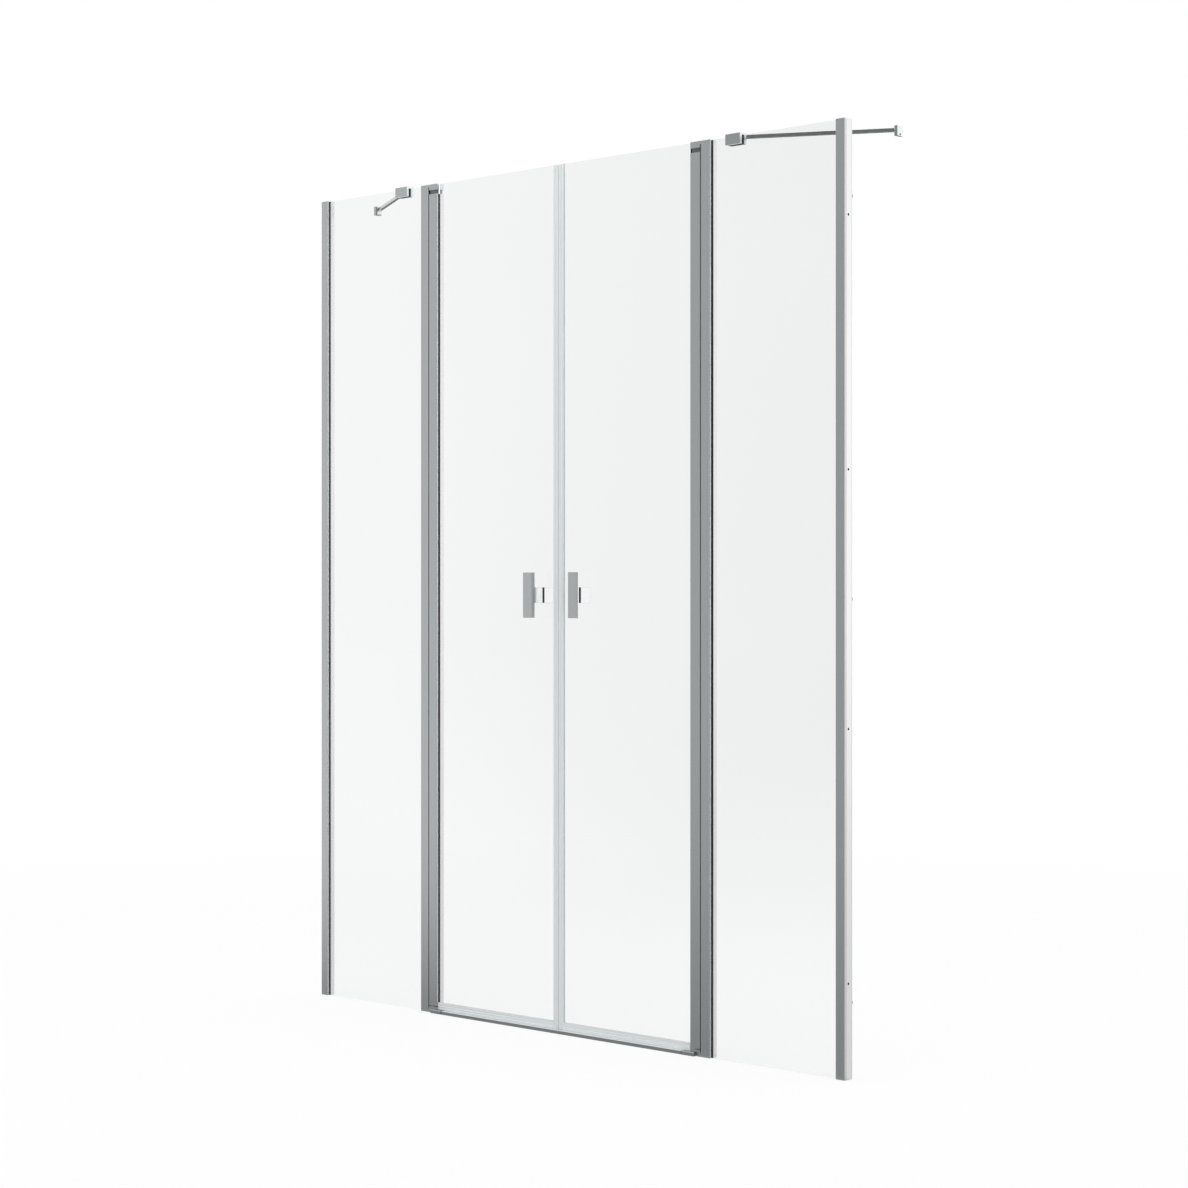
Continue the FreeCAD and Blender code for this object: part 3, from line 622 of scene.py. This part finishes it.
def cross_head_screws(material):
    """End screws that point down into the posts at the top, and up into them at the bottom."""
    boxes = islands("pivot_end_screws")
    low, high = boxes[0]
    shape = end_screw_mesh((high.x - low.x) / 2, high.z - low.z)
    middle = (cad_box[0].z + cad_box[1].z) / 2
    upside_down = Matrix.Rotation(math.pi, 4, "X")
    places = []
    for lo, hi in boxes:
        x, y = (lo.x + hi.x) / 2, (lo.y + hi.y) / 2
        if lo.z > middle:
            places.append(Matrix.Translation((x, y, lo.z)))
        else:
            places.append(Matrix.Translation((x, y, hi.z)) @ upside_down)
    replace_fasteners("cross_head_end_screws", "pivot_end_screws", shape, places, material)


# Studio


def seen_straight(tree):
    """1 for a ray from the camera, also through glass, and 0 for the rest."""
    rays = add(tree, "ShaderNodeLightPath").outputs
    return computed(tree, "MAXIMUM", rays["Is Camera Ray"], rays["Is Transmission Ray"])


def mirrored_path(tree):
    """1 for a ray that metal or glass has mirrored on its way, and 0 for the rest."""
    return computed(tree, "MINIMUM", add(tree, "ShaderNodeLightPath").outputs["Glossy Depth"], 1.0)


def from_glass(tree):
    """1 for a ray that leaves a perfectly smooth face, as glass has, and 0 for the rest."""
    return add(tree, "ShaderNodeLightPath").outputs["Is Singular Ray"]


def along(tree, direction, axis):
    """How far a direction points along an axis."""
    node = add(tree, "ShaderNodeVectorMath", operation="DOT_PRODUCT")
    for socket, value in zip(node.inputs, (direction, axis)):
        feed(tree, socket, value)
    return node.outputs["Value"]


def away_from_dark_side(tree, direction):
    """0 towards the dim side in front, and 1 away from it."""
    return smooth_step(tree, along(tree, direction, DARK_SIDE_AXIS), DARK_SIDE_INNER, DARK_SIDE_OUTER)


def floor_in_metal(tree, place, direction, distance):
    """What metal shows of the floor: dark near the front of the base and far behind on the left."""
    far_front = between(tree, away_from_dark_side(tree, direction), FRONT_FAR_LEVEL, 1.0)
    past_base = smooth_step(tree, distance, FRONT_START, FRONT_END)
    front = between(tree, past_base, FRONT_LEVEL, far_front)
    back_left = smooth_step(tree, along(tree, direction, BACK_LEFT_AXIS), BACK_LEFT_OUTER, BACK_LEFT_INNER)
    far_back = smooth_step(tree, distance, BACK_LEFT_START, BACK_LEFT_END)
    back = between(tree, computed(tree, "MULTIPLY", back_left, far_back), BACK_LEVEL, BACK_LEFT_LEVEL)
    in_front = smooth_step(tree, along(tree, place, FRONT_AXIS), -FRONT_EDGE, FRONT_EDGE)
    return between(tree, in_front, back, front)


def floor_in_glass(tree, direction, distance):
    """What glass mirrors of the floor: white near the base, and as dim as the side in front far from it."""
    far = between(tree, away_from_dark_side(tree, direction), WORLD_DARK_IN_GLASS, 1.0)
    share = computed(tree, "DIVIDE", GLASS_FLOOR_REACH, computed(tree, "ADD", distance, GLASS_FLOOR_REACH))
    near = smooth_step(tree, share, GLASS_FLOOR_FAR_SHARE, GLASS_FLOOR_NEAR_SHARE)
    return between(tree, near, far, 1.0)


def make_world():
    """White all round, but for a dim side in front that only reflections show, and a softer fill light."""
    world = bpy.data.worlds.new("studio")
    bpy.context.scene.world = world
    world.use_nodes = True
    tree = world.node_tree
    direction = add(tree, "ShaderNodeTexCoord").outputs["Generated"]
    dim = between(tree, from_glass(tree), WORLD_DARK, WORLD_DARK_IN_GLASS)
    mirrored = between(tree, away_from_dark_side(tree, direction), dim, 1.0)
    straight = between(tree, seen_straight(tree), WORLD_FILL, 1.0)
    level = between(tree, mirrored_path(tree), straight, mirrored)
    feed_all(tree, tree.nodes["Background"], {"Color": WHITE, "Strength": level})


def floor_level(tree, place, distance):
    """How brightly the floor glows to each kind of ray."""
    node = add(tree, "ShaderNodeVectorMath", operation="NORMALIZE")
    feed(tree, node.inputs[0], place)
    direction = node.outputs["Vector"]
    in_metal = floor_in_metal(tree, place, direction, distance)
    in_glass = floor_in_glass(tree, direction, distance)
    mirrored = between(tree, from_glass(tree), in_metal, in_glass)
    straight = between(tree, seen_straight(tree), FLOOR_FILL, 1.0)
    return between(tree, mirrored_path(tree), straight, mirrored)


def floor_material():
    """Pale floor that keeps the soft shadow near the object and fades to white far from it."""
    material, tree, unused = new_material("studio_floor")
    tree.nodes.remove(unused)
    place = add(tree, "ShaderNodeTexCoord").outputs["Object"]
    length = add(tree, "ShaderNodeVectorMath", operation="LENGTH")
    feed(tree, length.inputs[0], place)
    distance = length.outputs["Value"]
    far = smooth_step(tree, distance, FLOOR_FADE_START, FLOOR_FADE_END)
    diffuse = add(tree, "ShaderNodeBsdfDiffuse", {"Color": FLOOR_COLOUR})
    glow = add(tree, "ShaderNodeEmission", {"Strength": floor_level(tree, place, distance)})
    glow_share = between(tree, far, 1 - FLOOR_DIFFUSE_SHARE, 1.0)
    mixed_surface(tree, glow_share, diffuse.outputs["BSDF"], glow.outputs["Emission"])
    return material


def make_floor():
    half = FLOOR_SIZE / 2
    height = cad_box[0].z - FLOOR_DROP
    corners = [(-half, -half, height), (half, -half, height), (half, half, height), (-half, half, height)]
    floor = drawn_object("studio_floor", lambda mesh: mesh.faces.new([mesh.verts.new(c) for c in corners]))
    floor.data.materials.append(floor_material())


def make_lamps():
    for name, lamp in LAMPS.items():
        data = bpy.data.lights.new(name, "AREA")
        data.shape = "SQUARE"
        data.size = lamp["size"]
        data.energy = lamp["power"]
        made = bpy.data.objects.new(name, data)
        made.location = lamp["place"]
        made.rotation_mode = "QUATERNION"
        aim = Vector(lamp["aim"]) - Vector(lamp["place"])
        made.rotation_quaternion = aim.to_track_quat("-Z", "Y")
        bpy.context.scene.collection.objects.link(made)


def make_camera():
    data = bpy.data.cameras.new("camera")
    data.lens = LENS
    data.sensor_width = SENSOR
    camera = bpy.data.objects.new("camera", data)
    camera.location = CAMERA_PLACE
    camera.rotation_euler = (math.pi / 2, 0, CAMERA_TURN)
    bpy.context.scene.collection.objects.link(camera)
    bpy.context.scene.camera = camera


materials = slot_materials()
dress_nodes(materials)
socket_set_screws(materials["steel"])
cross_head_screws(materials["steel"])
make_world()
make_floor()
make_lamps()
make_camera()
bpy.context.scene.view_settings.view_transform = "Standard"
